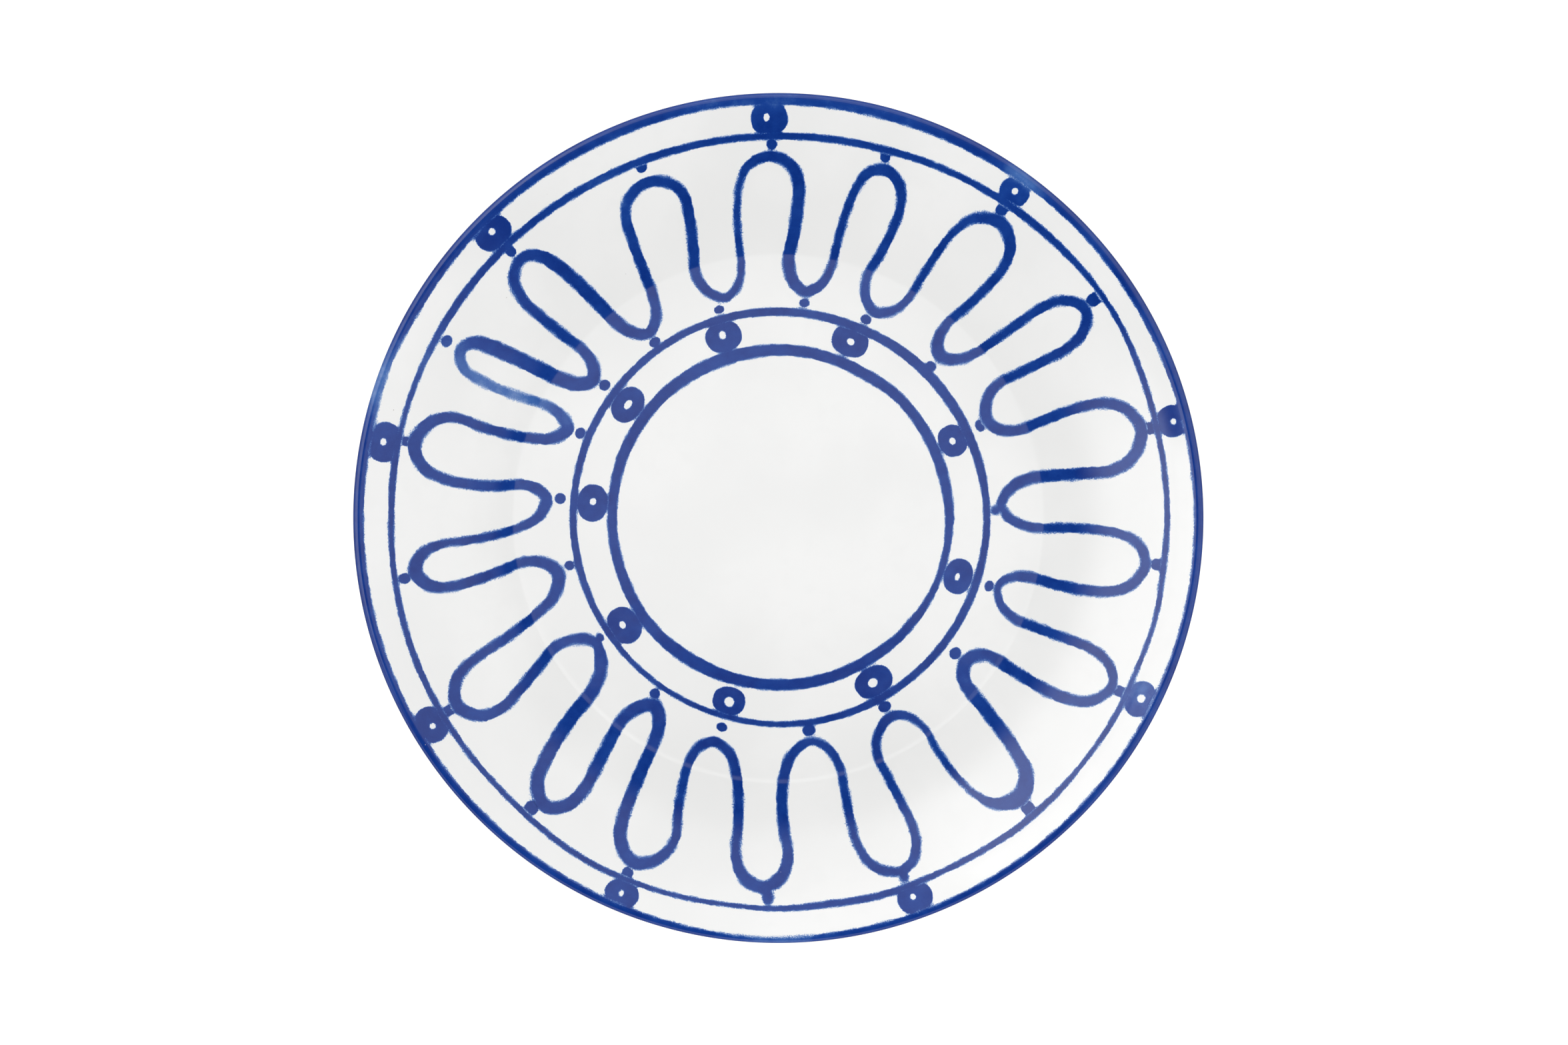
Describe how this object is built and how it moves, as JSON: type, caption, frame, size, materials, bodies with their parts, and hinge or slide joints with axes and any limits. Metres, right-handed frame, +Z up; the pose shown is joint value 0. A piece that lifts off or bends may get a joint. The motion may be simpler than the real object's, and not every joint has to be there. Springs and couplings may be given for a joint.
{
  "type": "dinner plate",
  "caption": "Round coupe dinner plate in glazed earthenware, standing on a bare foot ring, with a hand painted cobalt meander, lines, dots and medallions on its face.",
  "frame": {"origin": "on the table plane under the plate's centre, in the plane of the foot ring's base", "axes": "+Z up out of the dish along the axis of revolution; +X and +Y in the table plane, with the painted pattern's angles counted anticlockwise from +X"},
  "size_m": [0.28, 0.28, 0.0257],
  "materials": {
    "clay": "bare fired earthenware, matt",
    "white_glaze": "glossy white glaze",
    "cobalt": "glossy cobalt brushwork under clear glaze"
  },
  "bodies": {
    "root": {"clay_body": "clay", "glaze_coat": "white_glaze", "foot_well_glaze": "white_glaze", "rim_band": "cobalt", "outer_line": "cobalt", "meander": "cobalt", "inner_line": "cobalt", "well_band": "cobalt", "inner_dot_01": "cobalt", "inner_dot_02": "cobalt", "inner_dot_03": "cobalt", "inner_dot_04": "cobalt", "inner_dot_05": "cobalt", "inner_dot_06": "cobalt", "inner_dot_07": "cobalt", "inner_dot_08": "cobalt", "inner_dot_09": "cobalt", "inner_dot_10": "cobalt", "inner_dot_11": "cobalt", "inner_dot_12": "cobalt", "inner_dot_13": "cobalt", "inner_dot_14": "cobalt", "inner_dot_15": "cobalt", "inner_dot_16": "cobalt", "inner_medallion_01": "cobalt", "inner_medallion_02": "cobalt", "inner_medallion_03": "cobalt", "inner_medallion_04": "cobalt", "inner_medallion_05": "cobalt", "inner_medallion_06": "cobalt", "inner_medallion_07": "cobalt", "inner_medallion_08": "cobalt", "inner_medallion_09": "cobalt", "outer_dot_01": "cobalt", "outer_dot_02": "cobalt", "outer_dot_03": "cobalt", "outer_dot_04": "cobalt", "outer_dot_05": "cobalt", "outer_dot_06": "cobalt", "outer_dot_07": "cobalt", "outer_dot_08": "cobalt", "outer_dot_09": "cobalt", "outer_dot_10": "cobalt", "outer_dot_11": "cobalt", "outer_dot_12": "cobalt", "outer_dot_13": "cobalt", "outer_dot_14": "cobalt", "outer_dot_15": "cobalt", "outer_dot_16": "cobalt", "outer_medallion_01": "cobalt", "outer_medallion_02": "cobalt", "outer_medallion_03": "cobalt", "outer_medallion_04": "cobalt", "outer_medallion_05": "cobalt", "outer_medallion_06": "cobalt", "outer_medallion_07": "cobalt", "outer_medallion_08": "cobalt", "outer_medallion_09": "cobalt"}
  },
  "joints": []
}
